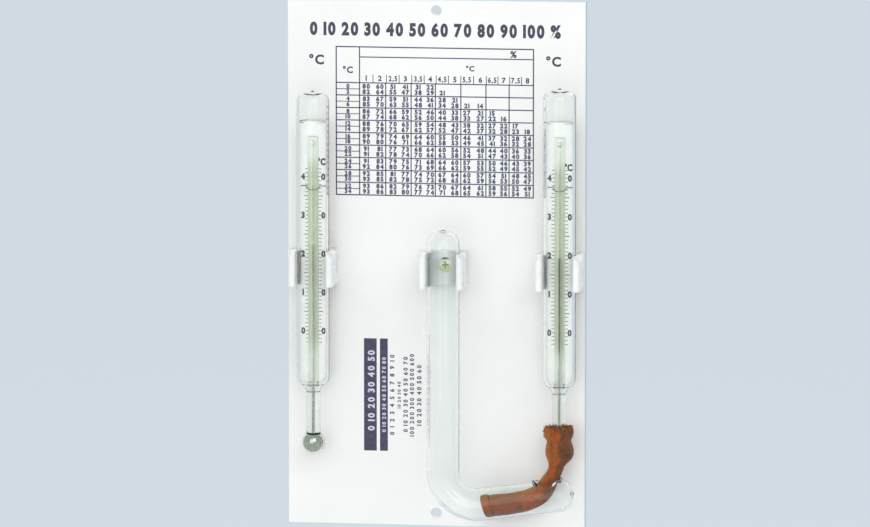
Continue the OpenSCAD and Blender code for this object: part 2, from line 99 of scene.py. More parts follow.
class Paint:
    """A material with one main shader, and short calls for the nodes that feed it."""

    def __init__(self, name):
        self.mat = bpy.data.materials.new(name)
        self.mat.use_nodes = True
        self.tree = self.mat.node_tree
        self.tree.nodes.clear()
        self.out = self.tree.nodes.new("ShaderNodeOutputMaterial")
        self.main = self.tree.nodes.new("ShaderNodeBsdfPrincipled")
        self.link(self.main.outputs[0], self.out.inputs[0])
        self.where = self.tree.nodes.new("ShaderNodeTexCoord").outputs["Object"]

    def link(self, a, b):
        self.tree.links.new(a, b)

    def put(self, socket, value):
        if isinstance(value, bpy.types.NodeSocket):
            self.link(value, socket)
        else:
            socket.default_value = value

    def scaled(self, factors, where=None):
        node = self.tree.nodes.new("ShaderNodeMapping")
        node.inputs["Scale"].default_value = factors
        self.link(where or self.where, node.inputs["Vector"])
        return node.outputs[0]

    def noise(self, scale, detail=3.0, rough=0.55, where=None, twist=0.0):
        node = self.tree.nodes.new("ShaderNodeTexNoise")
        node.inputs["Scale"].default_value = scale
        node.inputs["Detail"].default_value = detail
        node.inputs["Roughness"].default_value = rough
        node.inputs["Distortion"].default_value = twist
        self.link(where or self.where, node.inputs["Vector"])
        return node.outputs["Fac"]

    def spread(self, value, low, high, out_low=0.0, out_high=1.0, smooth=False):
        node = self.tree.nodes.new("ShaderNodeMapRange")
        node.interpolation_type = "SMOOTHSTEP" if smooth else "LINEAR"
        self.put(node.inputs["Value"], value)
        for name, number in (
            ("From Min", low), ("From Max", high), ("To Min", out_low), ("To Max", out_high),
        ):
            node.inputs[name].default_value = number
        return node.outputs["Result"]

    def math(self, kind, a, b=0.0, c=0.0):
        node = self.tree.nodes.new("ShaderNodeMath")
        node.operation = kind
        self.put(node.inputs[0], a)
        self.put(node.inputs[1], b)
        self.put(node.inputs[2], c)
        return node.outputs[0]

    def mix(self, share, a, b, kind="MIX"):
        node = self.tree.nodes.new("ShaderNodeMix")
        node.data_type = "RGBA"
        node.blend_type = kind
        self.put(node.inputs["Factor"], share)
        self.put(node.inputs[6], a)
        self.put(node.inputs[7], b)
        return node.outputs[2]

    def split(self, where=None):
        node = self.tree.nodes.new("ShaderNodeSeparateXYZ")
        self.link(where or self.where, node.inputs[0])
        return node.outputs

    def attribute(self, name):
        node = self.tree.nodes.new("ShaderNodeAttribute")
        node.attribute_name = name
        return node.outputs["Fac"]

    def bump(self, height, strength, distance):
        node = self.tree.nodes.new("ShaderNodeBump")
        node.inputs["Strength"].default_value = strength
        node.inputs["Distance"].default_value = distance
        self.link(height, node.inputs["Height"])
        self.link(node.outputs[0], self.main.inputs["Normal"])

    def set(self, **values):
        for name, value in values.items():
            self.put(self.main.inputs[name.replace("_", " ")], value)


def board_paint():
    p = Paint("board_sheet")
    cloud = p.noise(14, 4, 0.6)
    grain = p.noise(420, 2, 0.5)
    x, _, z = p.split()
    over_x = p.math("SUBTRACT", p.math("ABSOLUTE", x), BOARD_HALF_W * MM)
    over_z = p.math("SUBTRACT", p.math("ABSOLUTE", z), BOARD_HALF_H * MM)
    edge = p.spread(p.math("MAXIMUM", over_x, over_z), -0.25 * MM, -0.02 * MM)
    face = p.mix(p.spread(cloud, 0.35, 0.7), srgb(246, 247, 245), srgb(239, 241, 239))
    face = p.mix(p.spread(grain, 0.62, 0.8, 0, 0.25), face, srgb(224, 227, 226))
    p.set(
        Base_Color=p.mix(edge, face, srgb(186, 213, 216)),
        Roughness=p.spread(p.noise(60, 3), 0.3, 0.75, 0.34, 0.5),
    )
    p.bump(p.noise(900, 2), 0.12, 0.05 * MM)
    return p.mat


def clip_paint():
    p = Paint("clip_moulding")
    cloud = p.noise(90, 3)
    p.set(
        Base_Color=p.mix(p.spread(cloud, 0.3, 0.75), srgb(246, 248, 247), srgb(232, 236, 235)),
        Roughness=p.spread(p.noise(240, 3), 0.3, 0.75, 0.24, 0.42),
        Subsurface_Weight=0.12,
        Subsurface_Scale=1.5 * MM,
    )
    p.bump(p.noise(700, 3), 0.18, 0.06 * MM)
    return p.mat


def screw_paint():
    """Passivated countersunk head, with a painted shadow along its top, painted shade deeper in its recess,
    and yellow-green in its lower part.
    """
    p = Paint("passivated_steel")
    blotch = p.noise(420, 4, 0.6)
    _, y, z = p.split()
    low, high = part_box("clip_screws")
    level = (low.z + high.z) / 2
    radius = (high.z - low.z) / 2
    base = p.mix(p.spread(blotch, 0.35, 0.65), srgb(244, 248, 226), srgb(218, 226, 190))
    lower = p.spread(z, level + 0.1 * radius, level - 0.5 * radius, smooth=True)
    base = p.mix(p.math("MULTIPLY", lower, 0.55), base, srgb(176, 188, 106))
    # Painted shade: the head is darker deeper into its recess, away from its front face.
    base = p.mix(p.spread(y, low.y + 0.15 * MM, low.y + 0.5 * MM), base, srgb(166, 173, 128))
    # Painted shadow: a dark band along the top rim of the head.
    top_shadow = p.spread(p.math("MULTIPLY_ADD", blotch, 0.4 * MM, z), level + 0.72 * radius, level + 0.95 * radius)
    p.set(
        Base_Color=p.mix(top_shadow, base, srgb(44, 46, 36)),
        Metallic=0.55,
        Roughness=p.spread(blotch, 0.3, 0.7, 0.42, 0.6),
    )
    p.bump(p.noise(2600, 3), 0.3, 0.04 * MM)
    return p.mat


def opal_paint():
    p = Paint("opal_plate")
    cloud = p.noise(120, 3)
    p.set(
        Base_Color=p.mix(p.spread(cloud, 0.3, 0.7), srgb(252, 253, 248), srgb(246, 249, 241)),
        Roughness=p.spread(p.noise(300, 2), 0.3, 0.7, 0.18, 0.32),
        Subsurface_Weight=0.1,
        Subsurface_Scale=0.8 * MM,
    )
    p.bump(p.noise(600, 2), 0.06, 0.04 * MM)
    return p.mat


def wire_paint(name, pale, dark, shaded_left=False):
    """Dull wire. With the flag for the spring, it is less metallic and has painted shade at its left end in
    the dry tube.
    """
    p = Paint(name)
    cloud = p.noise(1800, 3)
    base = p.mix(p.spread(cloud, 0.3, 0.7), pale, dark)
    if shaded_left:
        # Painted shade: the ring is darker towards its left end.
        left_shade = p.spread(p.split()[0], (DRY_X - 4.4) * MM, (DRY_X - 2.6) * MM, 1, 0)
        base = p.mix(left_shade, base, srgb(58, 60, 58))
    p.set(
        Base_Color=base,
        Metallic=0.5 if shaded_left else 0.9,
        Roughness=p.spread(cloud, 0.3, 0.7, 0.32, 0.55),
    )
    return p.mat


def mercury_paint(name, bright, dull):
    p = Paint(name)
    film = p.noise(500, 3)
    p.set(
        Base_Color=p.mix(p.spread(film, 0.4, 0.75), bright, dull),
        Metallic=1.0,
        Roughness=p.spread(film, 0.35, 0.8, 0.03, 0.1),
    )
    return p.mat


def glass_paint(name, tint, dull, ior=1.47, core=None):
    """Clear glass that lets lamps through, with a faint film on its surface.

    Core is its tint beside the scale.
    """
    p = Paint(name)
    film = p.noise(45, 4, 0.6)
    base = p.mix(p.spread(film, 0.3, 0.8), tint, dull)
    if core:
        z = p.split()[2]
        foot = p.spread(z, TINT_FOOT[0] * MM, TINT_FOOT[1] * MM, smooth=True)
        head = p.spread(z, TINT_HEAD[0] * MM, TINT_HEAD[1] * MM, smooth=True)
        grain = p.spread(p.noise(900, 3, 0.7), 0.3, 0.7)
        inside = p.mix(grain, core, tuple(c * 0.88 for c in core[:3]) + (1,))
        base = p.mix(p.math("MULTIPLY", foot, head), base, inside)
    p.set(
        Base_Color=base,
        Roughness=p.spread(p.noise(130, 3), 0.5, 0.85, 0.0, 0.06),
        IOR=ior,
        Transmission_Weight=1.0,
    )
    p.bump(p.noise(160, 2), 0.06, 0.25 * MM)
    path = p.tree.nodes.new("ShaderNodeLightPath")
    clear = p.tree.nodes.new("ShaderNodeBsdfTransparent")
    clear.inputs[0].default_value = (0.985, 0.99, 0.985, 1)
    mixed = p.tree.nodes.new("ShaderNodeMixShader")
    p.link(path.outputs["Is Shadow Ray"], mixed.inputs[0])
    p.link(p.main.outputs[0], mixed.inputs[1])
    p.link(clear.outputs[0], mixed.inputs[2])
    p.link(mixed.outputs[0], p.out.inputs[0])
    return p.mat


def ink_paint(name, colour, worn):
    p = Paint(name)
    patch = p.noise(700, 3, 0.6)
    p.set(
        Base_Color=p.mix(p.spread(patch, 0.45, 0.75, 0, 0.6), colour, worn),
        Roughness=p.spread(p.noise(300, 2), 0.3, 0.7, 0.4, 0.6),
    )
    p.bump(patch, 0.1, 0.02 * MM)
    return p.mat


def wick_paint():
    """Knitted cotton stained by its water. The map named knit counts wales across and stitches along."""
    p = Paint("stained_knit")
    knit = p.tree.nodes.new("ShaderNodeUVMap")
    knit.uv_map = "knit"
    across, along, _ = p.split(knit.outputs[0])
    wale = p.math("FRACT", across)
    middle = p.math("ABSOLUTE", p.math("SUBTRACT", wale, 0.5))
    leg = p.math("FRACT", p.math("MULTIPLY_ADD", middle, 1.1, along))
    yarn = p.math("SINE", p.math("MULTIPLY", leg, math.pi))
    groove = p.spread(middle, 0.3, 0.5, 1, 0, smooth=True)
    stitch = p.math("MULTIPLY", yarn, groove)
    fibre = p.noise(2400, 4, 0.7)
    long_streak = p.noise(1.0, 4, 0.65, where=p.scaled((0.62, 0.09, 1), knit.outputs[0]))
    blotch = p.noise(230, 5, 0.65, twist=0.5)
    warm = p.mix(p.spread(long_streak, 0.40, 0.60), srgb(184, 86, 14), srgb(148, 84, 14))
    warm = p.mix(p.spread(blotch, 0.52, 0.70, 0, 0.55), warm, srgb(182, 66, 18))
    warm = p.mix(p.spread(blotch, 0.47, 0.32, 0, 0.8), warm, srgb(104, 64, 24))
    # Painted shade: the knit's grooves are darker than the tops of its yarn.
    deep = p.mix(p.spread(stitch, 0.05, 0.7, 0.45, 1), srgb(96, 44, 18), warm)
    # Paler yellow yarn on the wick's left side, and darker brown on its right side, on its lining and at its
    # hem.
    dry = p.math("MULTIPLY", p.attribute("dry"), p.spread(blotch, 0.3, 0.6, 0.3, 0.8))
    deep = p.mix(dry, deep, srgb(176, 128, 44))
    stain = p.math("MULTIPLY", p.attribute("stain"), p.spread(blotch, 0.2, 0.6, 0.7, 1))
    colour = p.mix(stain, deep, srgb(80, 52, 32))
    speck = p.noise(850, 4, 0.75)
    colour = p.mix(p.spread(speck, 0.47, 0.34, 0, 0.6), colour, srgb(72, 36, 12))
    colour = p.mix(p.spread(speck, 0.56, 0.70, 0, 0.6), colour, srgb(206, 118, 36))
    p.set(
        Base_Color=p.mix(p.spread(fibre, 0.55, 0.8, 0, 0.22), colour, srgb(200, 120, 50)),
        Roughness=p.spread(fibre, 0.3, 0.7, 0.75, 0.95),
        Sheen_Weight=0.2,
        Sheen_Roughness=0.5,
    )
    p.bump(p.math("MULTIPLY_ADD", fibre, 0.6, stitch), 0.45, 0.14 * MM)
    return p.mat


BOARD = board_paint()
CLIP = clip_paint()
SCREW = screw_paint()
OPAL = opal_paint()
WIRE = wire_paint("dull_wire", srgb(120, 122, 120), srgb(78, 80, 78))
# The spring ring has painted shade at its left end.
SPRING = wire_paint("pale_spring", srgb(228, 230, 228), srgb(206, 208, 206), shaded_left=True)
MERCURY = mercury_paint("liquid_mirror", srgb(192, 193, 180), srgb(162, 163, 149))
# Painted reflection: a darker copy of the mercury for the wet column, as if it mirrored a dark room.
MERCURY_DARK_REFLECTION = mercury_paint("liquid_column_painted_reflection", srgb(104, 112, 78), srgb(72, 80, 50))
SHEATH_GLASS = glass_paint("sheath_glass", (0.995, 0.997, 0.99, 1), (0.975, 0.983, 0.972, 1), ior=1.36)
STEM_GLASS = glass_paint(
    "stem_glass", (0.95, 0.97, 0.93, 1), (0.91, 0.94, 0.88, 1), core=(0.79, 0.83, 0.71, 1),
)
RESERVOIR_GLASS = glass_paint("reservoir_glass", (0.99, 1.0, 0.995, 1), (0.965, 0.98, 0.975, 1), ior=1.33)
TABLE_INK = ink_paint("table_ink", srgb(52, 54, 90), srgb(84, 86, 120))
TITLE_INK = ink_paint("title_ink", srgb(56, 60, 82), srgb(84, 88, 108))
BLOCK_INK = ink_paint("block_ink", srgb(62, 56, 84), srgb(92, 88, 116))
SCALE_INK = ink_paint("scale_ink", srgb(36, 44, 36), srgb(62, 70, 60))
PALE_INK = ink_paint("pale_ink", srgb(214, 216, 228), srgb(190, 192, 208))
WICK = wick_paint()

FINISH = {"board": BOARD, "clip": CLIP, "screw": SCREW, "opal": OPAL, "wire": WIRE, "mercury": MERCURY}
for row in frame["record"]["subparts"]:
    node, slot = row["node"], row["material_slot"]
    if slot == "glass":
        finish = RESERVOIR_GLASS if node == "reservoir" else STEM_GLASS if "stem" in node else SHEATH_GLASS
    else:
        finish = FINISH.get(slot, WICK)
    if "spring" in node:
        finish = SPRING
    # The wet head takes the darker copy of the mercury, a painted reflection.
    elif node == "wet_mercury_head":
        finish = MERCURY_DARK_REFLECTION
    nodes[node].data.materials.clear()
    nodes[node].data.materials.append(finish)


# Print

GLYPHS = {}
# How far a character's outline grows, as a share of its size
PLAIN, BOLD, HEAVY = 0.004, 0.036, 0.056


def glyph(letter, stroke):
    """Outline solid of one character: points, faces and width, one unit high."""
    key = (letter, stroke)
    if key not in GLYPHS:
        curve = bpy.data.curves.new("glyph", "FONT")
        curve.body = letter
        curve.size = 1.0
        curve.resolution_u = 3
        curve.offset = stroke
        curve.extrude = 0.5
        shown = bpy.data.objects.new("glyph", curve)
        bpy.context.scene.collection.objects.link(shown)
        bpy.context.view_layer.update()
        mesh = bpy.data.meshes.new_from_object(
            shown.evaluated_get(bpy.context.evaluated_depsgraph_get())
        )
        points = [v.co.copy() for v in mesh.vertices]
        faces = [list(f.vertices) for f in mesh.polygons]
        bpy.data.objects.remove(shown)
        bpy.data.curves.remove(curve)
        bpy.data.meshes.remove(mesh)
        GLYPHS[key] = (points, faces)
    return GLYPHS[key]


def glyph_height():
    points = glyph("0", PLAIN)[0]
    return max(v.y for v in points) - min(v.y for v in points)


DIGIT_HEIGHT = glyph_height()


class Print:
    """Flat ink on a face that looks towards -Y. Places are in mm on that face."""

    def __init__(self, face_y, lift=0.03):
        self.front = face_y - lift
        self.back = face_y + 0.02
        self.points = []
        self.faces = []

    def bar(self, x0, z0, x1, z1):
        first = len(self.points)
        for y in (self.front, self.back):
            self.points += [(x0, y, z0), (x1, y, z0), (x1, y, z1), (x0, y, z1)]
        for face in (
            (0, 1, 2, 3), (7, 6, 5, 4), (4, 5, 1, 0), (5, 6, 2, 1), (6, 7, 3, 2), (7, 4, 0, 3),
        ):
            self.faces.append([first + i for i in face])

    def line(self, x0, z0, x1, z1, width):
        half = width / 2
        if abs(x1 - x0) > abs(z1 - z0):
            self.bar(min(x0, x1), z0 - half, max(x0, x1), z0 + half)
        else:
            self.bar(x0 - half, min(z0, z1), x0 + half, max(z0, z1))

    def text(self, words, x, z, height, stroke=PLAIN, squeeze=1.0, gap=0.16, upright=False, fit=None):
        """Characters centred on (x, z).

        With upright, they run up the face. With fit, they fill that length.
        """
        scale = height / DIGIT_HEIGHT
        placed, pen = [], 0.0
        for letter in words:
            if letter == " ":
                pen += 0.32 * scale * squeeze
                continue
            points, faces = glyph(letter, stroke)
            left = min(v.x for v in points)
            right = max(v.x for v in points)
            placed.append((points, faces, pen - left * scale * squeeze))
            pen += (right - left) * scale * squeeze + gap * height
        width = pen - gap * height
        spacing = 1.0 if fit is None else fit / width
        for points, faces, start in placed:
            first = len(self.points)
            for v in points:
                across = (start + v.x * scale * squeeze - width / 2) * spacing
                along = v.y * scale - height / 2
                y = self.front if v.z > 0 else self.back
                if upright:
                    self.points.append((x - along, y, z + across))
                else:
                    self.points.append((x + across, y, z + along))
            self.faces += [[first + i for i in face] for face in faces]

    def done(self, name, ink, body, slot):
        mesh = bpy.data.meshes.new(name)
        mesh.from_pydata([Vector(p) * MM for p in self.points], [], self.faces)
        mesh.validate()
        mesh.materials.append(ink)
        shown = bpy.data.objects.new(name, mesh)
        bpy.context.scene.collection.objects.link(shown)
        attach(shown, body)


def vapour(t):
    """Pressure of saturated water vapour over water, in hPa."""
    return 6.112 * math.exp(17.62 * t / (243.12 + t))


def humidity(t, drop):
    return 100 * (vapour(t - drop) - 0.8 * drop) / vapour(t)


# Humidity table: its edges, lines and columns on the board's face, in mm
LEFT, RIGHT, TOP, BOTTOM = -46.8, 45.2, 100.6, 31.6
SIDE_COLUMN, TITLE_LINE, HEAD_LINE, TICK_TOP = -35.9, 95.9, 83.9, 87.9
COLUMNS = (
    -32.8, -26.4, -20.3, -14.5, -8.5, -2.9, 2.7, 8.6, 14.2, 20.5, 26.0, 31.4, 36.9, 42.4,
)
DROPS = (1, 2, 2.5, 3, 3.5, 4, 4.5, 5, 5.5, 6, 6.5, 7, 7.5, 8)
RULES = (-23.7, -11.8, -0.5, 11.4, 23.1, 33.9)
GROUPS = 9
PITCH = (HEAD_LINE - BOTTOM) / GROUPS
# Least humidity that is printed
LEAST = 14


def humidity_table():
    ink = Print(BOARD_FRONT)
    for x in (LEFT, RIGHT):
        ink.line(x, BOTTOM - 0.2, x, TOP + 0.2, 0.55)
    for z in (TOP, BOTTOM):
        ink.line(LEFT, z, RIGHT, z, 0.55)
    ink.line(SIDE_COLUMN, BOTTOM, SIDE_COLUMN, TOP, 0.5)
    ink.line(SIDE_COLUMN, TITLE_LINE, RIGHT, TITLE_LINE, 0.5)
    ink.line(LEFT, HEAD_LINE, RIGHT, HEAD_LINE, 0.5)
    for x in RULES:
        ink.line(x, BOTTOM, x, HEAD_LINE, 0.5)
    for a, b in zip(COLUMNS, COLUMNS[1:]):
        ink.line((a + b) / 2, HEAD_LINE, (a + b) / 2, TICK_TOP, 0.36)
    for i in range(1, GROUPS):
        z = HEAD_LINE - i * PITCH
        ink.line(LEFT, z, RIGHT, z, 0.5)
    for i in range(GROUPS):
        z = HEAD_LINE - (i + 0.5) * PITCH
        ink.line(LEFT, z, SIDE_COLUMN, z, 0.36)
    side = (LEFT + SIDE_COLUMN) / 2
    ink.text("%", 35.9, 98.25, 3.0, stroke=BOLD)
    ink.text("°C", 15.7, 91.3, 2.4, stroke=BOLD)
    ink.text("°C", side, 89.9, 2.9, stroke=BOLD)
    for x, drop in zip(COLUMNS, DROPS):
        words = str(drop).replace(".", ",")
        ink.text(words, x, 86.1, 2.4, stroke=BOLD, squeeze=0.82 if "," in words else 1)
    for row in range(2 * GROUPS):
        t = 2 * row
        z = HEAD_LINE - (row // 2) * PITCH - PITCH * (0.27 if row % 2 == 0 else 0.71)
        ink.text(str(t), side, z, 1.9, stroke=HEAVY)
        for x, drop in zip(COLUMNS, DROPS):
            value = humidity(t, drop)
            if value >= LEAST:
                ink.text(str(round(value)), x, z, 2.05, stroke=HEAVY)
    ink.done("board_table_print", TABLE_INK, "board", "board")


def board_labels():
    ink = Print(BOARD_FRONT)
    ink.text("0 10 20 30 40 50 60 70 80 90 100 %", -0.6, 109.0, 5.6, stroke=HEAVY, fit=117)
    ink.text("°C", -56.0, 94.5, 4.3, stroke=BOLD)
    ink.text("°C", 54.5, 95.2, 4.3, stroke=BOLD)
    ink.done("board_title_print", TITLE_INK, "board", "board")


def board_block():
    """Two dark bars with a pale row of numbers in one, and upright rows of numbers beside them."""
    ink = Print(BOARD_FRONT)
    low, high = -88.3, -35.5
    ink.bar(-34.0, low, -28.0, high)
    ink.bar(-26.5, low, -22.8, high)
    ink.text("0 1 2 3 4 5 6 7 8 9 10", -20.8, (low + high) / 2, 2.0, stroke=BOLD, gap=0.62, upright=True)
    ink.text("10 20 30 40", -17.5, -61.9, 1.45, stroke=BOLD, gap=0.3, upright=True)
    ink.text("0 10 20 30 40 50 60 70", -14.5, -61.6, 1.95, stroke=BOLD, gap=0.34, upright=True)
    ink.text("100 200 300 400 500 600", -11.5, -61.9, 1.9, stroke=BOLD, gap=0.34, upright=True)
    ink.text("10 20 30 40 50 60", -8.1, -61.9, 2.0, stroke=BOLD, gap=0.36, upright=True)
    ink.done("board_block_print", BLOCK_INK, "board", "board")
    pale = Print(BOARD_FRONT, lift=0.05)
    pale.text("0 10 20 30 40 50", -30.6, -60.0, 3.0, stroke=BOLD, gap=0.3, upright=True)
    pale.text("0 10 20 30 40 50 60 70 80", -24.6, -61.9, 1.7, stroke=BOLD, gap=0.34, upright=True)
    pale.done("board_block_numbers", PALE_INK, "board", "board")


def scale_print(side, x, body, unit_x, unit_degrees):
    """Degree lines on both sides of the capillary, with the tens to the left and zeros to the right."""
    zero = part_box(side + "_scale_plate")[1].z / MM - PLATE_TO_ZERO
    ink = Print(PLATE_FRONT)
    for degrees in range(-3, 43):
        z = zero + DEGREE * degrees
        reach = 3.45 if degrees % 10 == 0 else 4.5 if degrees % 5 == 0 else 3.85
        for way in (-1, 1):
            ink.line(x + way * 2.6, z, x + way * reach, z, 0.28 if degrees % 5 else 0.34)
    for tens in range(5):
        z = zero + DEGREE * 10 * tens
        ink.text(str(tens), x - 4.92, z, 2.7, stroke=HEAVY, squeeze=0.96)
        ink.text("0", x + 4.72, z, 2.7, stroke=HEAVY, squeeze=0.96)
    ink.text("°C", x + unit_x, zero + DEGREE * unit_degrees, 3.0, stroke=HEAVY, squeeze=0.8, gap=0.04)
    ink.done(side + "_scale_print", SCALE_INK, body, "opal")


humidity_table()
board_labels()
board_block()
scale_print("dry", DRY_X, "dry_thermometer", 3.9, 43.9)
scale_print("wet", WET_X, "wet_thermometer", 4.0, 42.8)


# Mercury threads

def mercury_thread(side):
    low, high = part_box(side + "_mercury_thread")
    x, y, r = (low.x + high.x) / 2, (low.y + high.y) / 2, (high.x - low.x) / 2
    sides, rings = 24, 40
    points = [
        (x + r * math.cos(2 * math.pi * k / sides), y + r * math.sin(2 * math.pi * k / sides),
         low.z + (high.z - low.z) * i / rings)
        for i in range(rings + 1) for k in range(sides)
    ]
    faces = [
        [i * sides + k, i * sides + (k + 1) % sides, (i + 1) * sides + (k + 1) % sides, (i + 1) * sides + k]
        for i in range(rings) for k in range(sides)
    ]
    faces.append(list(reversed(range(sides))))
    faces.append([rings * sides + k for k in range(sides)])
    mesh = bpy.data.meshes.new(side + "_mercury_column")
    mesh.from_pydata(points, [], faces)
    mesh.shade_smooth()
    # The wet column takes the darker copy of the mercury, a painted reflection.
    mesh.materials.append(MERCURY_DARK_REFLECTION if side == "wet" else MERCURY)
    shown = bpy.data.objects.new(side + "_mercury_column", mesh)
    bpy.context.scene.collection.objects.link(shown)
    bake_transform(shown)
    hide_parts(side + "_mercury_thread")


mercury_thread("dry")
mercury_thread("wet")


# Wick: an upper sleeve on the bulb, a neck through the mouth and a tail in the arm

# Columns of stitches around the wick, and points around it
WALES = 34
AROUND = WALES * 5
# Length of a stitch, distance between rings and height of the knit, in mm
STITCH = 0.95
RING_STEP = 0.3
RELIEF = 0.22
PLEATS = 11
# Slope of the reservoir's lower arm, the point on its axis where it starts, and how low the tail lies
SLOPE = math.radians(8)
ARM_POINT = (22.457, -110.549)
TAIL_DROP = 1.2
# Loose ends of yarn at the top of the collar, and how many of them stick out at its left
YARNS = 300
FRAYS = 60


def arm_z(x, drop=TAIL_DROP):
    """Level of the arm's axis at x, less the drop of what lies on its floor."""
    return ARM_POINT[1] + (x - ARM_POINT[0]) * math.tan(SLOPE) - drop / math.cos(SLOPE)


def smooth_rows(rows, step):
    """Rows of numbers, x and z first, with more between them on one smooth curve."""
    padded = [rows[0]] + list(rows) + [rows[-1]]
    made = []
    for i in range(1, len(padded) - 2):
        a, b, c, d = padded[i - 1:i + 3]
        count = max(2, round(math.dist(b[:3], c[:3]) / step))
        for k in range(count):
            t = k / count
            made.append([
                0.5 * (2 * q + (r - p) * t + (2 * p - 5 * q + 4 * r - s) * t * t
                       + (3 * q - p - 3 * r + s) * t ** 3)
                for p, q, r, s in zip(a, b, c, d)
            ])
    made.append(list(rows[-1]))
    return made


def relief(u, v):
    """Height of the knit, from 0 to 1, at wale u and stitch v."""
    side = abs((u % 1) - 0.5)
    leg = (v + 1.1 * side) % 1
    groove = 1 - min(1, max(0, (side - 0.26) / 0.24)) ** 2
    return groove * (0.35 + 0.65 * math.sin(math.pi * leg))


class Sleeve:
    """Knitted tube made of rings.

    A row is x, z, half width, half depth, pleat, fold, dark all round and dark to the right.
    """

    def __init__(self, along=0.0):
        self.points, self.faces, self.maps, self.stain, self.dry = [], [], [], [], []
        self.along = along

    def ring(self, row, heading, knit=1.0):
        x, z, wide, deep, pleat, fold, dark, dark_right = row
        out = Vector((0, 1, 0)).cross(heading).normalized()
        back = heading.cross(out).normalized()
        v = self.along / STITCH
        for k in range(AROUND):
            angle = 2 * math.pi * k / AROUND
            c, s = math.cos(angle), math.sin(angle)
            ridge = noise.noise(Vector((c * 2.4, s * 2.4, v * 0.05)))
            wander = noise.noise(Vector((c * 1.1, s * 1.1, v * 0.16 + 7)))
            extra = (
                pleat * math.cos(PLEATS * angle + 1.1 * math.sin(2 * angle) + 3 * wander)
                + fold * (ridge * 1.1 + wander * 0.5)
                + knit * RELIEF * (relief(k / AROUND * WALES, v) - 0.6)
            )
            ragged = 3.6 * pleat * noise.noise(Vector((c * 4.1, s * 4.1, 3.0)))
            spoke = out * c * (wide + extra) + back * s * (deep + extra)
            self.points.append(Vector((x, TUBE_Y, z)) + spoke - heading * ragged)
            # Darker towards the wick's right side.
            turned = min(1, max(0, (-c - 0.25 * s - 0.12 + 0.5 * wander) / 0.5))
            self.stain.append(min(1.0, dark + dark_right * turned * turned * (3 - 2 * turned)))
            self.dry.append(min(1.0, max(0.0, (c - 0.55) / 0.45)))
        return v

    def skin(self, levels):
        for i, (v0, v1) in enumerate(zip(levels, levels[1:])):
            for k in range(AROUND):
                after = (k + 1) % AROUND
                self.faces.append([
                    i * AROUND + k, i * AROUND + after, (i + 1) * AROUND + after, (i + 1) * AROUND + k,
                ])
                u0, u1 = k / AROUND * WALES, (k + 1) / AROUND * WALES
                self.maps += [(u0, v0), (u1, v0), (u1, v1), (u0, v1)]

    def cap(self, first, flip):
        """Closes the ring that starts at point first."""
        ring = range(first, first + AROUND)
        self.points.append(sum((self.points[i] for i in ring), Vector()) / AROUND)
        self.stain.append(1.0)
        self.dry.append(0.0)
        tip = len(self.points) - 1
        for k in range(AROUND):
            pair = [first + k, first + (k + 1) % AROUND]
            self.faces.append((pair[::-1] if flip else pair) + [tip])
            self.maps += [(0, 0), (1, 0), (0.5, 1)]

    def yarn(self, route, thick, stain):
        """Loose end of yarn, tapering along its route."""
        sides, first = 5, len(self.points)
        for i, centre in enumerate(route):
            heading = (route[min(i + 1, len(route) - 1)] - route[max(i - 1, 0)]).normalized()
            across = heading.orthogonal().normalized()
            over = heading.cross(across)
            r = thick * (1 - 0.6 * i / (len(route) - 1))
            for k in range(sides):
                angle = 2 * math.pi * k / sides
                self.points.append(centre + r * (across * math.cos(angle) + over * math.sin(angle)))
                self.stain.append(stain)
                self.dry.append(0.3)
        for i in range(len(route) - 1):
            for k in range(sides):
                a, b = first + i * sides + k, first + i * sides + (k + 1) % sides
                self.faces.append([a, b, b + sides, a + sides])
                self.maps += [(0.4, i * 0.3), (0.6, i * 0.3), (0.6, i * 0.3 + 0.3), (0.4, i * 0.3 + 0.3)]
        last = first + (len(route) - 1) * sides
        self.faces += [[first + k for k in reversed(range(sides))], [last + k for k in range(sides)]]
        self.maps += [(0.5, 0.3)] * (2 * sides)

    def done(self, name):
        mesh = bpy.data.meshes.new(name)
        mesh.from_pydata([p * MM for p in self.points], [], self.faces)
        layer = mesh.uv_layers.new(name="knit")
        for loop, place in zip(layer.data, self.maps):
            loop.uv = place
        for label, values in (("stain", self.stain), ("dry", self.dry)):
            mesh.attributes.new(label, "FLOAT", "POINT").data.foreach_set("value", values)
        mesh.shade_smooth()
        mesh.materials.append(WICK)
        shown = bpy.data.objects.new(name, mesh)
        bpy.context.scene.collection.objects.link(shown)
        return shown


DOWN = Vector((0, 0, -1))
ALONG_ARM = Vector((-math.cos(SLOPE), 0, -math.sin(SLOPE)))
# Direction of the tail's last rings, which slant
HEM_WAY = Vector((-0.949, 0, -0.314))
# Where the three pieces of the wick join
UPPER_FOOT = (57.6, -92.3, 3.6, 3.6, 0.0, 0.35, 0.0, 0.75)
TAIL_START = (43.2, arm_z(43.2, 0.75), 4.9, 4.9, 0.0, 0.3, 0.05, 0.0)


def run(made, rows, first_way=None, last_way=None, upright=False):
    """Adds the rings of a smooth run of rows to a sleeve and returns their levels along it."""
    path = smooth_rows(rows, RING_STEP)
    levels = []
    for i, row in enumerate(path):
        if i:
            last = path[i - 1]
            made.along += math.dist(row[:3], last[:3])
        after, before = path[min(i + 1, len(path) - 1)], path[max(i - 1, 0)]
        way = Vector((after[0] - before[0], 0, after[1] - before[1]))
        if upright:
            way = DOWN
        elif i == 0 and first_way:
            way = first_way
        elif i == len(path) - 1 and last_way:
            way = last_way
        levels.append(made.ring(row, way.normalized()))
    return levels


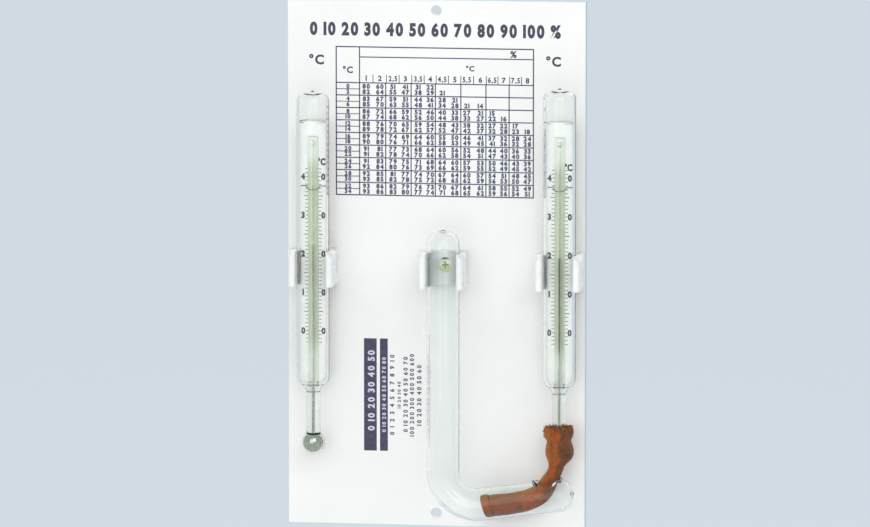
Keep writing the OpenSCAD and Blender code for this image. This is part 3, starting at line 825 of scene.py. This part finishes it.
def wick_upper():
    """Gathered collar, the sock on the bulb and the bulge under it, with a lining that clears the glass."""
    made = Sleeve()
    x = WET_X
    rows = [
        (x, -86.6, 1.2, 1.2, 0, 0, 1, 0), (x, -86.2, 3.2, 3.2, 0, 0, 1, 0), (x, -84.6, 5.0, 5.0, 0, 0, 1, 0),
        (x, -82.0, 5.72, 5.72, 0, 0, 1, 0), (x, -79.2, 5.1, 5.1, 0, 0, 1, 0),
        (x, -77.2, 4.2, 4.2, 0, 0, 1, 0), (x, -75.6, 4.0, 4.0, 0.1, 0, 0.9, 0),
        (x - 0.2, -74.3, 4.4, 4.5, 0.25, 0.1, 0.75, 0), (x - 0.2, -73.5, 4.9, 5.0, 0.4, 0.3, 0.5, 0.2),
        (x - 0.2, -73.8, 5.6, 5.6, 0.52, 0.5, 0.1, 0.6), (x - 0.2, -75.2, 6.05, 6.0, 0.55, 0.6, 0, 0.75),
        (x - 0.3, -77.0, 6.15, 6.1, 0.45, 0.6, 0, 0.75), (x - 0.4, -78.5, 5.95, 5.95, 0.25, 0.45, 0, 0.8),
        (x - 0.1, -79.8, 5.5, 5.62, 0.08, 0.2, 0, 0.8), (x, -81.0, 5.78, 5.8, 0, 0.35, 0, 0.85),
        (x + 0.1, -82.6, 6.2, 6.15, 0, 0.5, 0, 0.9), (x + 0.15, -84.6, 6.45, 6.3, 0, 0.6, 0, 0.95),
        (x + 0.2, -86.3, 6.3, 6.15, 0, 0.6, 0, 0.95), (x + 0.15, -87.9, 5.75, 5.7, 0, 0.55, 0, 0.9),
        (x - 0.15, -89.3, 4.95, 5.0, 0, 0.5, 0, 0.85), (x - 0.75, -90.8, 4.1, 4.2, 0, 0.45, 0, 0.8),
        UPPER_FOOT,
    ]
    levels = run(made, rows, upright=True)
    made.skin(levels)
    made.cap(0, False)
    made.cap(AROUND * (len(levels) - 1), True)
    for i in range(YARNS):
        frayed = i >= YARNS - FRAYS
        angle = rng.gauss(0, 0.5) if frayed else rng.uniform(0, 2 * math.pi)
        away = Vector((-math.cos(angle), math.sin(angle), 0))
        up = Vector((0, 0, 1))
        reach = rng.uniform(0.7, 2.1)
        if frayed:
            base = Vector((x - 0.3, TUBE_Y, rng.gauss(-75.8, 1.0))) + away * 5.7
            way = (away + up * rng.uniform(-0.9, 0.9)).normalized()
            reach *= 0.8
        else:
            base = Vector((x - 0.2, TUBE_Y, rng.uniform(-74.9, -73.9))) + away * rng.uniform(4.7, 5.9)
            way = (away * rng.uniform(-0.1, 0.9) + up).normalized()
        bend = Vector((rng.uniform(-0.5, 0.5), rng.uniform(-0.5, 0.5), rng.uniform(-0.6, 0.1)))
        route = [base + way * reach * t + bend * reach * t * t * 0.7 for t in (0, 0.25, 0.5, 0.75, 1)]
        made.yarn(route, rng.uniform(0.18, 0.38), rng.uniform(0.1, 0.8))
    shown = made.done("wick_upper")
    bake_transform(shown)
    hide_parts("wick_sock")
    return made.along


def wick_middle(along):
    """The wick's neck, from under the bulb through the mouth to the floor of the arm."""
    made = Sleeve(along)
    rows = [
        UPPER_FOOT,
        (57.15, -93.8, 3.45, 3.6, 0, 0.35, 0, 0.75), (56.4, -95.5, 3.35, 3.6, 0, 0.35, 0, 0.75),
        (55.45, -97.2, 3.4, 3.7, 0, 0.35, 0, 0.75), (54.4, -98.9, 3.65, 3.8, 0, 0.35, 0, 0.75),
        (53.5, -100.6, 3.95, 4.0, 0, 0.35, 0, 0.7), (52.5, -102.3, 4.15, 4.2, 0, 0.35, 0, 0.7),
        (51.3, -103.9, 4.35, 4.4, 0, 0.35, 0.0, 0.6), (49.7, -105.3, 4.55, 4.55, 0, 0.35, 0.0, 0.5),
        (47.6, -106.6, 4.75, 4.7, 0, 0.3, 0.05, 0.3), (45.4, -107.55, 4.85, 4.85, 0, 0.3, 0.05, 0.1),
        TAIL_START,
    ]
    levels = run(made, rows, first_way=DOWN, last_way=ALONG_ARM)
    made.skin(levels)
    made.cap(0, False)
    made.cap(AROUND * (len(levels) - 1), True)
    shown = made.done("wick_middle")
    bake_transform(shown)
    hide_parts("wick_neck")
    return made.along


def wick_foot(along):
    """The tail on the floor of the arm, with its folded hem."""
    made = Sleeve(along)

    def row(x, r, fold=0.3, dark=0.34, drop=TAIL_DROP):
        return (x, arm_z(x, drop), r, r, 0.0, fold, dark, 0.0)

    rows = [
        TAIL_START, row(40, 4.92, drop=0.95), row(36, 4.95), row(32, 4.98, drop=1.15), row(29, 5.0, drop=1.1),
        row(28.3, 4.93, 0.3, 0.45, 1.1), row(27.95, 4.83, 0.2, 0.85, 1.1), row(27.5, 5.18, 0.2, 0.5, 1.0),
        row(26.8, 5.42, 0.2, 0.0, 0.92), row(25.4, 5.45, 0.25, 0.0, 0.9), row(24.5, 5.3, 0.25, 0.1, 0.92),
        row(23.75, 4.9, 0.15, 0.3, 0.95), row(24.0, 4.3, 0.1, 0.7, 0.95), row(25.4, 3.8, 0.1, 1.0, 0.95),
        row(27.0, 2.6, 0.0, 1.0, 0.95), row(27.4, 1.0, 0.0, 1.0, 0.95),
    ]
    path = smooth_rows(rows, RING_STEP)
    levels = []
    for i, r in enumerate(path):
        if i:
            made.along += math.dist(r[:3], path[i - 1][:3])
        slant = min(1, max(0, (31 - r[0]) / 3))
        way = ALONG_ARM.lerp(HEM_WAY, slant * slant * (3 - 2 * slant)).normalized()
        levels.append(made.ring(r, way, 1.0 if r[2] > 4 else 0.4))
    made.skin(levels)
    made.cap(0, False)
    made.cap(AROUND * (len(levels) - 1), True)
    shown = made.done("wick_foot")
    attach(shown, "reservoir_tube")
    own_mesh(shown)
    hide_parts("wick_tail")


wick_foot(wick_middle(wick_upper()))


# Floor, light and camera

# Colour of the plain background, and of the even light around the object
PAPER = (0.64, 0.71, 0.77, 1)
AMBIENT = (0.76, 0.76, 0.76, 1)
# How much of the floor is plain paper; the rest is matt and keeps the object's shadow
PAPER_SHARE = 0.9


def sees_background(tree):
    """Socket that is 1 for rays that show the plain background: straight, mirrored or through glass."""
    path = tree.nodes.new("ShaderNodeLightPath").outputs
    seen = path["Is Camera Ray"]
    for kind in ("Is Glossy Ray", "Is Transmission Ray"):
        node = tree.nodes.new("ShaderNodeMath")
        node.operation = "MAXIMUM"
        tree.links.new(seen, node.inputs[0])
        tree.links.new(path[kind], node.inputs[1])
        seen = node.outputs[0]
    return seen


def make_world():
    """Plain paper behind the object, which metal and glass show too, in even grey light."""
    world = bpy.data.worlds.new("studio")
    bpy.context.scene.world = world
    world.use_nodes = True
    tree = world.node_tree
    tree.nodes.clear()
    out = tree.nodes.new("ShaderNodeOutputWorld")
    light = tree.nodes.new("ShaderNodeBackground")
    plain = tree.nodes.new("ShaderNodeMix")
    plain.data_type = "RGBA"
    plain.inputs[6].default_value = AMBIENT
    plain.inputs[7].default_value = PAPER
    tree.links.new(sees_background(tree), plain.inputs["Factor"])
    tree.links.new(plain.outputs[2], light.inputs["Color"])
    tree.links.new(light.outputs[0], out.inputs[0])


def make_floor():
    mesh = bpy.data.meshes.new("floor")
    half, level = 9.0, -0.45
    mesh.from_pydata(
        [(-half, -half, level), (half, -half, level), (half, half, level), (-half, half, level)],
        [], [(0, 1, 2, 3)],
    )
    mat = bpy.data.materials.new("floor_paper")
    mat.use_nodes = True
    tree = mat.node_tree
    tree.nodes.clear()
    out = tree.nodes.new("ShaderNodeOutputMaterial")
    matte = tree.nodes.new("ShaderNodeBsdfDiffuse")
    matte.inputs["Color"].default_value = (0.8, 0.82, 0.84, 1)
    glow = tree.nodes.new("ShaderNodeEmission")
    glow.inputs["Color"].default_value = PAPER
    share = tree.nodes.new("ShaderNodeMath")
    share.operation = "MULTIPLY"
    share.inputs[1].default_value = PAPER_SHARE
    tree.links.new(sees_background(tree), share.inputs[0])
    plain = tree.nodes.new("ShaderNodeMixShader")
    tree.links.new(share.outputs[0], plain.inputs[0])
    tree.links.new(matte.outputs[0], plain.inputs[1])
    tree.links.new(glow.outputs[0], plain.inputs[2])
    tree.links.new(plain.outputs[0], out.inputs[0])
    mesh.materials.append(mat)
    floor = bpy.data.objects.new("floor", mesh)
    bpy.context.scene.collection.objects.link(floor)


def lamp(name, place, size, power, colour=(1, 1, 1)):
    light = bpy.data.lights.new(name, "AREA")
    light.shape = "RECTANGLE"
    light.size, light.size_y = size
    light.energy = power
    light.color = colour
    shown = bpy.data.objects.new(name, light)
    shown.location = place
    shown.rotation_mode = "QUATERNION"
    shown.rotation_quaternion = Vector(place).to_track_quat("Z", "Y")
    bpy.context.scene.collection.objects.link(shown)


def make_camera():
    """Long lens from above and to the right, as the clips' visible sides show."""
    turn, rise, far = math.radians(8), math.radians(8), 4.0
    shift_right, shift_up = 0.0010, 0.0002
    back = Vector((math.sin(turn) * math.cos(rise), -math.cos(turn) * math.cos(rise), math.sin(rise)))
    right = Vector((math.cos(turn), math.sin(turn), 0))
    up = back.cross(right)
    aim = Vector((0, BOARD_FRONT / 2 * MM, 0)) - right * shift_right - up * shift_up
    data = bpy.data.cameras.new("camera")
    data.sensor_width = 36
    data.lens = 357.0
    data.clip_start, data.clip_end = 0.05, 60
    camera = bpy.data.objects.new("camera", data)
    camera.location = aim + back * far
    camera.rotation_mode = "QUATERNION"
    camera.rotation_quaternion = back.to_track_quat("Z", "Y")
    bpy.context.scene.collection.objects.link(camera)
    bpy.context.scene.camera = camera


make_world()
make_floor()
lamp("key", (0.7, -1.9, 1.1), (1.4, 1.4), 10, (1.0, 0.99, 0.98))
lamp("fill", (-0.5, -2.1, 0.45), (1.4, 1.8), 9, (1.0, 0.995, 0.985))
lamp("rear", (0.2, 1.8, 1.2), (1.4, 0.8), 8)
make_camera()
bpy.context.scene.view_settings.view_transform = "Standard"
